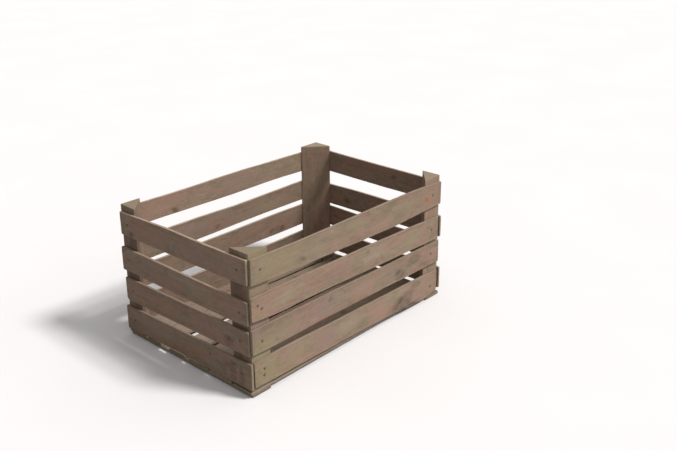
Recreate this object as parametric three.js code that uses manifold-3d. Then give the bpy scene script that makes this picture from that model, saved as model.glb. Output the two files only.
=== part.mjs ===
// Slatted wooden fruit crate: four triangular corner posts, four slats on each of the four sides,
// six bottom boards lying on two cross runners, and a wire nail through each end of every side slat.
// Millimetres, +Z up. X runs along the crate's length, Y across its width.
// The origin is on the ground, at the centre of the crate's footprint.
// "front" is the long side at -Y, "back" the long side at +Y,
// "left" the short end at -X, "right" the short end at +X.
import * as THREE from "three";
import { mergeVertices } from "three/addons/utils/BufferGeometryUtils.js";
import Module from "manifold-3d";

// ---------- driving dimensions ----------
const LENGTH = 600; // over the outer faces of the end slats
const WIDTH = 400; // over the outer faces of the side slats
const HEIGHT = 300; // ground to the post tops
const SLAT_T = 6; // side and end slat thickness
const BOARD_T = 6.5; // bottom board thickness
const RUNNER_T = 7; // runner thickness

const POST_FACE_X = LENGTH / 2 - SLAT_T; // plane between end slats and posts
const POST_FACE_Y = WIDTH / 2 - SLAT_T; // plane between side slats and posts
const DECK_Z = RUNNER_T + BOARD_T; // top face of the bottom boards, where the posts stand

// ---------- nails ----------
const NAIL_SHANK_R = 1.1;
const NAIL_HEAD_R = 2.6;
const NAIL_HEAD_T = 0.75; // the head is driven flush with the slat's face
const NAIL_IN_POST = 11.5; // shank length inside the post, to the start of the point
const NAIL_POINT = 1.5;
const NAIL_SEGMENTS = 12;
const SEAT_CLEAR = 0.3; // bored clearance round shank, head and point
const SEAT_OVERCUT = 2; // how far the seat cutter stands out of the slat's face

// ---------- slats ----------
// Every slat is a sawn lath with slightly uneven edges. top and bottom list
// [position along the slat, height], from the slat's low end to its high end.
// nails gives [position along the slat, height] at the low end and the high end.
// The slats of a side are listed from the top one down.
const SLATS = {
  front: [
    {
      top: [[-294, 289.2], [-165, 286.8], [0, 288], [130, 289.4], [230, 287.6], [293, 285]],
      bottom: [
        [-294, 236.6], [-205, 233.4], [-50, 229.8], [75, 227.4], [125, 227], [233, 230.6],
        [293, 232.4],
      ],
      nails: [[-270, 263.5], [261.5, 260]],
    },
    {
      top: [[-295.5, 212], [-104, 210.5], [58, 208.4], [154, 206.2], [234, 203.7], [286, 202.4]],
      bottom: [[-295.5, 162.3], [-236, 158.6], [-118, 157.6], [80, 153], [286, 148.1]],
      nails: [[-269, 183.5], [261, 176.5]],
    },
    {
      top: [[-296.5, 145.6], [-100, 144.5], [120, 142.3], [289.5, 140.8]],
      bottom: [[-296.5, 94], [-250, 92.6], [-119, 93.4], [100, 91], [289.5, 88.9]],
      nails: [[-271, 115.5], [260.5, 116.5]],
    },
    {
      top: [[-292.8, 75], [-248, 77], [-171, 76.9], [-120, 75.4], [80, 72], [286.5, 68]],
      bottom: [
        [-292.8, 23], [-242, 21.7], [-120, 20.3], [0, 19], [60, 18], [100, 16.4],
        [141, 14], [175, 11], [210, 10], [240, 8.5], [262, 12], [286.5, 18.2],
      ],
      nails: [[-267.5, 55], [262, 33]],
    },
  ],
  back: [
    {
      top: [[-289, 288], [-160, 286.4], [50, 287.3], [200, 284.6], [291, 283.4]],
      bottom: [[-289, 240.2], [-130, 238.4], [0, 237], [150, 237.4], [291, 234]],
      nails: [[-268, 265], [266, 258]],
    },
    {
      top: [[-287.5, 210], [-60, 208], [15, 206], [163, 207.5], [293, 209]],
      bottom: [[-287.5, 155], [-64, 157.8], [60, 159.6], [160, 159.9], [293, 158.6]],
      nails: [[-266, 184], [267, 182]],
    },
    {
      top: [[-289, 147], [-50, 145], [90, 145.6], [160, 146.2], [288, 143.6]],
      bottom: [[-289, 95.2], [0, 93.6], [140, 92.6], [288, 92.4]],
      nails: [[-267, 122], [265, 116]],
    },
    {
      top: [[-286, 74.5], [-80, 73.4], [120, 72], [292, 72.8]],
      bottom: [[-286, 14.3], [-40, 13.9], [160, 14.1], [292, 14.6]],
      nails: [[-265, 46], [268, 47]],
    },
  ],
  left: [
    {
      top: [[-194, 288.9], [-60, 288], [30, 289], [140, 286.4], [191, 285.6]],
      bottom: [[-194, 237.2], [-40, 236.2], [90, 235.2], [190, 235.6]],
      nails: [[-168.5, 263], [168, 261]],
    },
    {
      top: [[-192.5, 203.1], [-20, 204.2], [196, 206.1]],
      bottom: [[-192.5, 152.9], [40, 152.6], [196, 154.1]],
      nails: [[-170, 177], [171, 181.5]],
    },
    {
      top: [[-193.6, 141.4], [-30, 138.8], [191, 136.6]],
      bottom: [[-193.6, 90.2], [0, 87], [187, 83.6]],
      nails: [[-169, 116.5], [167, 110]],
    },
    {
      top: [[-198.5, 74.8], [-60, 72.8], [90, 70.2], [196.5, 68.5]],
      bottom: [
        [-198.5, 18.3], [-100, 18.6], [-44, 18.4], [20, 18], [86, 17.4], [130, 16.2],
        [196.5, 13.9],
      ],
      nails: [[-170, 47], [169, 40.5]],
    },
  ],
  right: [
    {
      top: [[-194, 282.5], [-50, 282.9], [80, 283.8], [195, 285.6]],
      bottom: [[-194, 230.8], [20, 231.6], [195, 233.4]],
      nails: [[-169, 257], [168, 260]],
    },
    {
      top: [[-198, 199.6], [-40, 199.2], [85, 198.8], [192, 195.8]],
      bottom: [[-198, 147.8], [0, 147], [192, 145.4]],
      nails: [[-170, 174], [167, 170]],
    },
    {
      top: [[-193, 137.6], [60, 136.8], [196, 139]],
      bottom: [[-193, 86], [30, 85.2], [196, 87.6]],
      nails: [[-168, 112], [170, 113]],
    },
    {
      top: [[-199, 70.2], [40, 71.2], [193.5, 72.4]],
      bottom: [[-199, 17.2], [20, 18], [193.5, 19.4]],
      nails: [[-171, 44], [168, 46]],
    },
  ],
};

// ---------- sides ----------
// alongX: whether the slats run along X (else along Y). outward: sign of the axis the side faces.
// origin: where slat outlines are drawn, on the slat face that lies lower in the extrusion.
// nailTurn: rotation about Z that makes a nail's head face out.
const SIDES = {
  front: {
    alongX: true, outward: -1, origin: [0, -POST_FACE_Y, 0],
    label: "front_slat", nailTurn: Math.PI,
  },
  back: {
    alongX: true, outward: 1, origin: [0, WIDTH / 2, 0],
    label: "back_slat", nailTurn: 0,
  },
  left: {
    alongX: false, outward: -1, origin: [-LENGTH / 2, 0, 0],
    label: "left_end_slat", nailTurn: Math.PI / 2,
  },
  right: {
    alongX: false, outward: 1, origin: [POST_FACE_X, 0, 0],
    label: "right_end_slat", nailTurn: -Math.PI / 2,
  },
};

// ---------- corner posts ----------
// x, y: signs of the corner. legX, legY: legs of the triangular section along X and along Y.
const POSTS = {
  post_front_left: { x: -1, y: -1, legX: 49.5, legY: 53 },
  post_front_right: { x: 1, y: -1, legX: 56, legY: 49.5 },
  post_back_right: { x: 1, y: 1, legX: 56, legY: 49.5 },
  post_back_left: { x: -1, y: 1, legX: 49, legY: 49 },
};

// ---------- bottom boards ----------
// [left X, right X, low Y and high Y at the left end, low Y and high Y at the right end]
const BOARDS = [
  [-298.5, 292.5, -193.5, -141, -192.5, -140.5],
  [-297.5, 290, -133, -79, -131, -77.5],
  [-298.5, 293, -61, -4.5, -60, -5.5],
  [-297, 294, 9, 61, 7.5, 58.5],
  [-298, 289, 86, 132, 67.5, 113.5],
  [-298.5, 292, 135.5, 194, 129, 193.5],
];

// ---------- runners: [low X, high X, low Y, high Y] ----------
const RUNNERS = {
  runner_left: [-295, -246, -194, 194],
  runner_right: [249, 299.5, -197, 194],
};

// ---------- materials ----------
const WOOD_TONES = [0x9a8573, 0x92806c, 0x8f7a66, 0x97826b, 0x8c7866, 0x94806f];
const FIRST_BOARD_TONE = 2; // index into WOOD_TONES
const RUNNER_TONE = 3;
const POST_COLOR = 0x94826a;

const wood = (color) => new THREE.MeshStandardMaterial({ color, roughness: 0.85, metalness: 0 });
const toneWood = (index) => wood(WOOD_TONES[index % WOOD_TONES.length]);
const nailSteel = new THREE.MeshStandardMaterial({
  color: 0x4a3a30,
  roughness: 0.65,
  metalness: 0.8,
});

// ---------- solids ----------
const wasm = await Module();
wasm.setup();

// A closed geometry as a solid with its faces pointing out.
function solid(geometry) {
  const bare = geometry.index ? geometry.toNonIndexed() : geometry.clone();
  bare.deleteAttribute("normal");
  bare.deleteAttribute("uv");
  const merged = mergeVertices(bare, 1e-4);
  const vertProperties = new Float32Array(merged.getAttribute("position").array);
  const triVerts = new Uint32Array(merged.index.array);
  const make = () => new wasm.Manifold(new wasm.Mesh({ numProp: 3, vertProperties, triVerts }));
  const made = make();
  if (made.volume() >= 0) return made;
  for (let i = 0; i < triVerts.length; i += 3) {
    [triVerts[i + 1], triVerts[i + 2]] = [triVerts[i + 2], triVerts[i + 1]];
  }
  return make();
}

// The solid's surface as a geometry.
function surface(body) {
  const { numVert, numProp, vertProperties, triVerts } = body.getMesh();
  const positions = new Float32Array(numVert * 3);
  for (let i = 0; i < numVert; i++) {
    positions.set(vertProperties.subarray(i * numProp, i * numProp + 3), i * 3);
  }
  const geometry = new THREE.BufferGeometry();
  geometry.setAttribute("position", new THREE.BufferAttribute(positions, 3));
  geometry.setIndex(new THREE.BufferAttribute(new Uint32Array(triVerts), 1));
  geometry.computeVertexNormals();
  return geometry;
}

// A closed outline of [x, y] points, extruded along +Z.
function extruded(points, depth) {
  const outline = new THREE.Shape(points.map(([x, y]) => new THREE.Vector2(x, y)));
  outline.closePath();
  return new THREE.ExtrudeGeometry(outline, { depth, bevelEnabled: false });
}

function namedMesh(name, geometry, material) {
  const mesh = new THREE.Mesh(geometry, material);
  mesh.name = name;
  return mesh;
}

// A nail turned about Y: outer face of the head at 0, shank and point towards -Y.
// clear widens and deepens it; top is where the head ends.
function nailGeometry(clear = 0, top = 0) {
  const shankEnd = SLAT_T + NAIL_IN_POST + clear;
  const shankR = NAIL_SHANK_R + clear;
  const headR = NAIL_HEAD_R + clear;
  const profile = [
    [0, -(shankEnd + NAIL_POINT)],
    [shankR, -shankEnd],
    [shankR, -NAIL_HEAD_T],
    [headR, -NAIL_HEAD_T],
    [headR, top],
    [0, top],
  ];
  return new THREE.LatheGeometry(
    profile.map(([radius, y]) => new THREE.Vector2(radius, y)),
    NAIL_SEGMENTS,
  );
}

// The place of a nail's head on the outer face of its side.
const nailPlace = ({ alongX, outward }, [along, z]) =>
  alongX ? [along, (outward * WIDTH) / 2, z] : [(outward * LENGTH) / 2, along, z];

// The cutter for a nail's bored and recessed seat, in the crate's frame.
function seatGeometry(side, nail) {
  const pose = new THREE.Matrix4().makeRotationZ(side.nailTurn);
  pose.setPosition(...nailPlace(side, nail));
  return nailGeometry(SEAT_CLEAR, SEAT_OVERCUT).applyMatrix4(pose);
}

// ---------- pieces ----------
const X_AXIS = new THREE.Vector3(1, 0, 0);
const Y_AXIS = new THREE.Vector3(0, 1, 0);
const Z_AXIS = new THREE.Vector3(0, 0, 1);

// One side's slats, drawn in the plane of the side and extruded through their thickness.
function slatGroup(sideName, firstTone) {
  const side = SIDES[sideName];
  const basis = new THREE.Matrix4();
  if (side.alongX) basis.makeBasis(X_AXIS, Z_AXIS, Y_AXIS.clone().negate());
  else basis.makeBasis(Y_AXIS, Z_AXIS, X_AXIS);

  const group = new THREE.Group();
  group.name = sideName + "_side";
  group.position.set(...side.origin);
  group.quaternion.setFromRotationMatrix(basis);
  group.updateMatrix();
  const toGroup = group.matrix.clone().invert();

  SLATS[sideName].forEach(({ top, bottom, nails }, i) => {
    let body = solid(extruded([...bottom, ...[...top].reverse()], SLAT_T));
    for (const nail of nails) {
      body = body.subtract(solid(seatGeometry(side, nail).applyMatrix4(toGroup)));
    }
    group.add(namedMesh(`${side.label}_${i + 1}`, surface(body), toneWood(firstTone + i)));
  });
  return group;
}

// A corner post with its two legs against the slats, bored for the nails that enter it.
function cornerPost(name, { x, y, legX, legY }) {
  const section = [
    [x * POST_FACE_X, y * POST_FACE_Y],
    [x * (POST_FACE_X - legX), y * POST_FACE_Y],
    [x * POST_FACE_X, y * (POST_FACE_Y - legY)],
  ];
  let body = solid(extruded(section, HEIGHT - DECK_Z).translate(0, 0, DECK_Z));
  for (const [sideName, side] of Object.entries(SIDES)) {
    const [facing, slatEnd] = side.alongX ? [y, x] : [x, y];
    if (side.outward !== facing) continue;
    for (const { nails } of SLATS[sideName]) {
      const nail = nails[slatEnd > 0 ? 1 : 0];
      body = body.subtract(solid(seatGeometry(side, nail)));
    }
  }
  return namedMesh(name, surface(body), wood(POST_COLOR));
}

// Bottom boards, lengthwise, each a sawn lath that is not quite parallel.
function floorGroup() {
  const floor = new THREE.Group();
  floor.name = "floor";
  floor.position.z = RUNNER_T;
  BOARDS.forEach(([leftX, rightX, leftLow, leftHigh, rightLow, rightHigh], i) => {
    const outline = [[leftX, leftLow], [rightX, rightLow], [rightX, rightHigh], [leftX, leftHigh]];
    const board = extruded(outline, BOARD_T);
    floor.add(namedMesh(`bottom_board_${i + 1}`, board, toneWood(FIRST_BOARD_TONE + i)));
  });
  return floor;
}

// A runner, across the width under the ends of the bottom boards.
function runner(name, [x0, x1, y0, y1]) {
  const box = new THREE.BoxGeometry(x1 - x0, y1 - y0, RUNNER_T);
  const mesh = namedMesh(name, box, toneWood(RUNNER_TONE));
  mesh.position.set((x0 + x1) / 2, (y0 + y1) / 2, RUNNER_T / 2);
  return mesh;
}

function nailMesh(name, side, nail) {
  const mesh = namedMesh(name, nailGeometry(), nailSteel);
  mesh.position.set(...nailPlace(side, nail));
  mesh.rotation.z = side.nailTurn;
  return mesh;
}

// ---------- the crate ----------
const crate = new THREE.Group();
crate.name = "crate";

let firstTone = 0; // the wood tones run on from one side to the next
for (const sideName of Object.keys(SIDES)) {
  crate.add(slatGroup(sideName, firstTone));
  firstTone += SLATS[sideName].length;
}
for (const [name, post] of Object.entries(POSTS)) crate.add(cornerPost(name, post));
crate.add(floorGroup());
for (const [name, extent] of Object.entries(RUNNERS)) crate.add(runner(name, extent));

for (const [sideName, side] of Object.entries(SIDES)) {
  const endNames = side.alongX ? ["left", "right"] : ["front", "back"];
  SLATS[sideName].forEach(({ nails }, i) =>
    nails.forEach((nail, end) => {
      crate.add(nailMesh(`nail_${sideName}_${i + 1}_${endNames[end]}`, side, nail));
    }),
  );
}

export default crate;
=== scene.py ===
# A slatted fruit crate, 600 x 400 x 300 mm, in weathered wood with rusty nails, on a pale floor.
# It stands on z = 0, centred on the z axis: front slats face -y, back +y, left end -x, right end +x.
# The pieces are worked out in millimetres and scaled to metres when their meshes are made.
import math
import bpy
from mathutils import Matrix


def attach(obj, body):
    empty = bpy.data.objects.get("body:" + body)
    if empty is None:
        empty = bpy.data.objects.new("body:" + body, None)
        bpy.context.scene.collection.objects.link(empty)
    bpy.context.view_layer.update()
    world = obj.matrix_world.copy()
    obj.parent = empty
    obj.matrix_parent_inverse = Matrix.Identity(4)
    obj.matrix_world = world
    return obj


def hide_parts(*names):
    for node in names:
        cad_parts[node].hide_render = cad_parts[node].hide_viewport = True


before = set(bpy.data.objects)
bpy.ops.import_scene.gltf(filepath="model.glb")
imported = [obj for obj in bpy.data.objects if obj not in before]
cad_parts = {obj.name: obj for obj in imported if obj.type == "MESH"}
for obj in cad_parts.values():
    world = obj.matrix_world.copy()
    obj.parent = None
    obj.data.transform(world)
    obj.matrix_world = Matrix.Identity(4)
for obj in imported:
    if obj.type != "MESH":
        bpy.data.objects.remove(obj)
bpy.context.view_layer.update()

import zlib
from functools import reduce

import bpy
import numpy as np
from mathutils import Matrix

MM = 0.001

# ------------------------------------------------------------------ dimensions (millimetres)
LENGTH, WIDTH, HEIGHT = 600.0, 400.0, 300.0
SLAT_T, BOARD_T, RUNNER_T = 6.0, 6.5, 7.0
INNER_X, INNER_Y = LENGTH / 2 - SLAT_T, WIDTH / 2 - SLAT_T  # inner faces of the slats
DECK_Z = RUNNER_T + BOARD_T

# Slats from the top down. Edges and nails are [x or y along the side, z].
SLATS = {
    "front": [
        dict(top=[(-294, 289.2), (-165, 286.8), (0, 288), (130, 289.4), (230, 287.6), (293, 285)],
             bottom=[(-294, 236.6), (-205, 233.4), (-50, 229.8), (75, 227.4), (125, 227),
                     (233, 230.6), (293, 232.4)],
             nails=[(-270, 263.5), (261.5, 260)]),
        dict(top=[(-295.5, 212), (-104, 210.5), (58, 208.4), (154, 206.2), (234, 203.7),
                  (286, 202.4)],
             bottom=[(-295.5, 162.3), (-236, 158.6), (-118, 157.6), (80, 153), (286, 148.1)],
             nails=[(-269, 183.5), (261, 176.5)]),
        dict(top=[(-296.5, 145.6), (-100, 144.5), (120, 142.3), (289.5, 140.8)],
             bottom=[(-296.5, 94), (-250, 92.6), (-119, 93.4), (100, 91), (289.5, 88.9)],
             nails=[(-271, 115.5), (260.5, 116.5)]),
        dict(top=[(-292.8, 75), (-248, 77), (-171, 76.9), (-120, 75.4), (80, 72), (286.5, 68)],
             bottom=[(-292.8, 23), (-242, 21.7), (-120, 20.3), (0, 19), (60, 18), (100, 16.4),
                     (141, 14), (175, 11), (210, 10), (240, 8.5), (262, 12), (286.5, 18.2)],
             nails=[(-267.5, 55), (262, 33)]),
    ],
    "back": [
        dict(top=[(-289, 288), (-160, 286.4), (50, 287.3), (200, 284.6), (291, 283.4)],
             bottom=[(-289, 240.2), (-130, 238.4), (0, 237), (150, 237.4), (291, 234)],
             nails=[(-268, 265), (266, 258)]),
        dict(top=[(-287.5, 210), (-60, 208), (15, 206), (163, 207.5), (293, 209)],
             bottom=[(-287.5, 155), (-64, 157.8), (60, 159.6), (160, 159.9), (293, 158.6)],
             nails=[(-266, 184), (267, 182)]),
        dict(top=[(-289, 147), (-50, 145), (90, 145.6), (160, 146.2), (288, 143.6)],
             bottom=[(-289, 95.2), (0, 93.6), (140, 92.6), (288, 92.4)],
             nails=[(-267, 122), (265, 116)]),
        dict(top=[(-286, 74.5), (-80, 73.4), (120, 72), (292, 72.8)],
             bottom=[(-286, 14.3), (-40, 13.9), (160, 14.1), (292, 14.6)],
             nails=[(-265, 46), (268, 47)]),
    ],
    "left": [
        dict(top=[(-194, 288.9), (-60, 288), (30, 289), (140, 286.4), (191, 285.6)],
             bottom=[(-194, 237.2), (-40, 236.2), (90, 235.2), (190, 235.6)],
             nails=[(-168.5, 263), (168, 261)]),
        dict(top=[(-192.5, 203.1), (-20, 204.2), (196, 206.1)],
             bottom=[(-192.5, 152.9), (40, 152.6), (196, 154.1)],
             nails=[(-170, 177), (171, 181.5)]),
        dict(top=[(-193.6, 141.4), (-30, 138.8), (191, 136.6)],
             bottom=[(-193.6, 90.2), (0, 87), (187, 83.6)],
             nails=[(-169, 116.5), (167, 110)]),
        dict(top=[(-198.5, 74.8), (-60, 72.8), (90, 70.2), (196.5, 68.5)],
             bottom=[(-198.5, 18.3), (-100, 18.6), (-44, 18.4), (20, 18), (86, 17.4),
                     (130, 16.2), (196.5, 13.9)],
             nails=[(-170, 47), (169, 40.5)]),
    ],
    "right": [
        dict(top=[(-194, 282.5), (-50, 282.9), (80, 283.8), (195, 285.6)],
             bottom=[(-194, 230.8), (20, 231.6), (195, 233.4)],
             nails=[(-169, 257), (168, 260)]),
        dict(top=[(-198, 199.6), (-40, 199.2), (85, 198.8), (192, 195.8)],
             bottom=[(-198, 147.8), (0, 147), (192, 145.4)],
             nails=[(-170, 174), (167, 170)]),
        dict(top=[(-193, 137.6), (60, 136.8), (196, 139)],
             bottom=[(-193, 86), (30, 85.2), (196, 87.6)],
             nails=[(-168, 112), (170, 113)]),
        dict(top=[(-199, 70.2), (40, 71.2), (193.5, 72.4)],
             bottom=[(-199, 17.2), (20, 18), (193.5, 19.4)],
             nails=[(-171, 44), (168, 46)]),
    ],
}
# Second nails driven beside the first at some slat ends.
EXTRA_NAILS = {("front", 2): [(-279.2, 192.4)], ("front", 4): [(-268.6, 41.6)]}
# Per side: slat name, place of [along, height, depth], way out, names of its low and high end,
# strength of the nail stains, paleness of each slat's narrow edges (partly a painted highlight).
SIDES = {
    "front": ("front_slat", lambda s, v, t: (s, -WIDTH / 2 + t, v), (0, -1, 0),
              ("left", "right"), 1.0, (0.86, 0.86, 0.80, 0.82)),
    "back": ("back_slat", lambda s, v, t: (s, WIDTH / 2 - t, v), (0, 1, 0),
             ("left", "right"), 0.35, (1.25,) * 4),
    "left": ("left_end_slat", lambda s, v, t: (-LENGTH / 2 + t, s, v), (-1, 0, 0),
             ("front", "back"), 0.35, (1.22, 0.95, 0.74, 0.64)),
    "right": ("right_end_slat", lambda s, v, t: (LENGTH / 2 - t, s, v), (1, 0, 0),
              ("front", "back"), 0.35, (1.15,) * 4),
}
# Bottom boards: [left x, right x, low and high y at the left end, low and high y at the right end].
BOARDS = [
    (-298.5, 292.5, -193.5, -141, -192.5, -140.5),
    (-297.5, 290, -133, -79, -131, -77.5),
    (-298.5, 293, -61, -4.5, -60, -5.5),
    (-297, 294, 9, 61, 7.5, 58.5),
    (-298, 289, 86, 132, 67.5, 113.5),
    (-298.5, 292, 135.5, 194, 129, 193.5),
]
BOARD_NAIL_X = {"left": -257, "right": 258}
BOARD_NAIL_LENGTH = 12.6
# Runners: [low x, high x, low y, high y].
RUNNERS = {"runner_left": (-295, -246, -194, 194), "runner_right": (249, 299.5, -197, 194)}
# Posts: [sign of x, sign of y, leg along x, leg along y].
POSTS = {
    "post_front_left": (-1, -1, 49.5, 53.0), "post_front_right": (1, -1, 56.0, 49.5),
    "post_back_right": (1, 1, 56.0, 49.5), "post_back_left": (-1, 1, 49.0, 49.0),
}

# End splits: [end (0 low, 1 high), share across, length, half width, depth].
CRACKS = {
    "front_slat_2": [(1, 0.30, 34, 0.35, 1.6)],
    "front_slat_4": [(1, 0.62, 46, 0.40, 1.9), (0, 0.35, 22, 0.30, 1.4)],
    "front_slat_1": [(0, 0.68, 26, 0.30, 1.4)],
    "left_end_slat_2": [(0, 0.42, 30, 0.35, 1.6)],
    "left_end_slat_4": [(0, 0.55, 40, 0.38, 1.8)],
    "left_end_slat_1": [(1, 0.33, 24, 0.30, 1.4)],
    "back_slat_1": [(1, 0.44, 38, 0.38, 1.8)],
    "back_slat_2": [(0, 0.64, 30, 0.35, 1.6)],
    "back_slat_3": [(1, 0.30, 52, 0.42, 2.0)],
    "back_slat_4": [(0, 0.50, 28, 0.30, 1.5)],
    "right_end_slat_1": [(0, 0.60, 30, 0.35, 1.6)],
    "right_end_slat_3": [(1, 0.40, 44, 0.40, 1.9)],
    "bottom_board_2": [(0, 0.42, 60, 0.45, 2.0)],
    "bottom_board_4": [(1, 0.60, 48, 0.40, 1.8)],
    "bottom_board_5": [(0, 0.30, 36, 0.35, 1.6)],
}
# Radii of a lath's corners: [low end low, low end high, high end low, high end high].
SLAT_CORNERS, BOARD_CORNERS, RUNNER_CORNERS = (1.8, 1.6, 1.7, 1.9), (1.8,) * 4, (2.2, 2.0, 2.2, 2.0)
# Corners worn or broken more than the rest.
WORN_CORNERS = {
    "left_end_slat_3": (1.8, 2.0, 9.0, 2.2), "left_end_slat_1": (1.6, 1.6, 4.5, 2.0),
    "front_slat_4": (2.2, 1.8, 3.0, 2.0), "back_slat_2": (3.0, 2.0, 1.8, 2.0),
    "right_end_slat_2": (1.8, 3.6, 2.0, 1.8), "bottom_board_4": (2.0, 5.0, 2.0, 2.0),
}
# Knots: [along, height or y, radius, strength]; on posts the second is from the diagonal's middle.
KNOTS = {
    "front_slat_1": [(238, 255.6, 4.5, 0.40), (-157.3, 246.5, 4.2, 0.55)],
    "front_slat_2": [(36, 196, 3.0, 0.40)],
    "front_slat_3": [(138.7, 113.5, 4.6, 0.70), (-81.9, 131, 3.6, 0.55), (-232, 104, 2.4, 0.4)],
    "front_slat_4": [(150, 40, 6.4, 0.70), (182, 24, 4.4, 0.60)],
    "back_slat_1": [(-157.4, 245.5, 4.6, 0.9)],
    "back_slat_2": [(-40, 171, 4.0, 0.6)],
    "back_slat_3": [(167.4, 103.5, 5.0, 1.0), (130.7, 106, 4.2, 0.8), (-120, 128, 3.6, 0.6)],
    "back_slat_4": [(60, 36, 5.0, 0.7), (-170, 58, 3.2, 0.6)],
    "left_end_slat_1": [(155.5, 243.5, 4.2, 0.8)],
    "left_end_slat_3": [(-138.3, 110.9, 3.6, 0.8)],
    "left_end_slat_4": [(-78.1, 54, 2.4, 0.7), (-131, 52, 3.4, 0.5)],
    "right_end_slat_1": [(-60, 262, 4.2, 0.7)],
    "right_end_slat_2": [(88, 166, 5.0, 0.8)],
    "right_end_slat_3": [(-110, 120, 3.4, 0.7)],
    "right_end_slat_4": [(40, 34, 4.6, 0.8)],
    "bottom_board_2": [(60, -108, 5.0, 0.8)],
    "bottom_board_3": [(-150, -36, 4.4, 0.7)],
    "bottom_board_5": [(120, 98, 5.4, 0.8)],
    "bottom_board_6": [(-40, 168, 4.0, 0.7)],
    "bottom_board_1": [(-90, -170, 4.2, 0.6)],
    "post_back_right": [(118, 14, 3.6, 0.8), (205, -9, 2.8, 0.7)],
    "post_front_left": [(150, 6, 3.2, 0.7)],
    "post_front_right": [(90, -6, 3.4, 0.7)],
    "post_back_left": [(210, 8, 3.0, 0.7)],
}

# ------------------------------------------------------------------ colours and marks
TAN, PINK, OLIVE = (0.238, 0.170, 0.119), (0.256, 0.158, 0.116), (0.186, 0.148, 0.094)
# The third colour is for the narrow edge faces: partly paler sawn wood, partly a painted highlight
# where they catch the light.
GREY, PALE, RIM_AND_HIGHLIGHT = (0.205, 0.170, 0.140), (0.390, 0.320, 0.245), (0.270, 0.208, 0.152)
DARK, WARM = (0.060, 0.038, 0.026), (0.285, 0.155, 0.100)
PATCH_DARK, PATCH_LIGHT = (0.150, 0.116, 0.078), (0.300, 0.205, 0.150)
KNOT_HALO, KNOT_CORE = (0.150, 0.092, 0.060), (0.088, 0.050, 0.034)
KNOT_RIM, GRIME = (0.045, 0.028, 0.020), (0.105, 0.080, 0.058)
NAIL_STAIN, NAIL_RUN = (0.110, 0.062, 0.038), (0.115, 0.068, 0.042)
END_LIGHT, END_DARK = (0.250, 0.192, 0.132), (0.190, 0.142, 0.096)
# The second colour, near black, is painted shade inside the split grooves.
ARRIS_DIRT, SPLIT_SHADE = (0.110, 0.078, 0.052), (0.022, 0.014, 0.010)
SOOT, BARK, MUD = (0.080, 0.060, 0.042), (0.070, 0.046, 0.030), (0.120, 0.094, 0.064)
STRAW, SALLOW, ROSE = (0.232, 0.196, 0.108), (0.245, 0.212, 0.128), (0.300, 0.182, 0.134)
MAUVE, RUDDY, TERRA = (0.232, 0.160, 0.136), (0.280, 0.150, 0.096), (0.350, 0.180, 0.106)
BONE = (0.290, 0.232, 0.166)
# Brightness of the early and late wood of a growth ring.
EARLY, LATE = 1.03, 0.91

# Stains: [along, height, half length, half height, strength, slant of the streaks, colour].
STAINS = {
    "front_slat_4": [
        (172, 11, 56, 10, 1.0, 0.0, BARK), (150, 30, 34, 20, 0.80, -0.6, SOOT),
        (176, 42, 26, 16, 0.55, -0.6, SOOT), (204, 58, 24, 12, 0.45, -0.42, SOOT),
        (118, 26, 30, 12, 0.35, -0.3, SOOT)],
    "front_slat_3": [
        (196, 124, 27, 15, 0.90, 0.1, MUD), (146, 106, 22, 13, 0.60, -0.42, SOOT),
        (240, 100, 30, 9, 0.25, 0.2, SOOT), (-252, 142, 26, 6, 0.40, 0.0, MUD)],
    "front_slat_2": [
        (-120, 200, 22, 9, 0.2, 0.2, MUD), (90, 160, 60, 5, 0.25, 0.1, MUD),
        (84, 168, 9, 6, 0.55, -0.4, MUD)],
    "front_slat_1": [(-158, 247, 16, 8, 0.22, 0.3, MUD), (20, 236, 60, 5, 0.25, 0.1, MUD)],
    "left_end_slat_4": [
        (-146, 42, 13, 30, 0.62, 0.0, SOOT), (-170, 34, 11, 26, 0.55, 0.0, BARK),
        (-122, 44, 9, 26, 0.38, 0.0, SOOT), (-150, 60, 34, 8, 0.40, 0.0, SOOT)],
    "left_end_slat_3": [(-140, 106, 20, 16, 0.45, 0.9, SOOT)],
    "left_end_slat_1": [(157, 244, 12, 10, 0.35, 0.3, SOOT)],
    "back_slat_3": [(150, 104, 34, 11, 0.4, 0.35, SOOT)],
    "back_slat_1": [(-157, 246, 12, 8, 0.3, 0.35, SOOT)],
}
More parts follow.
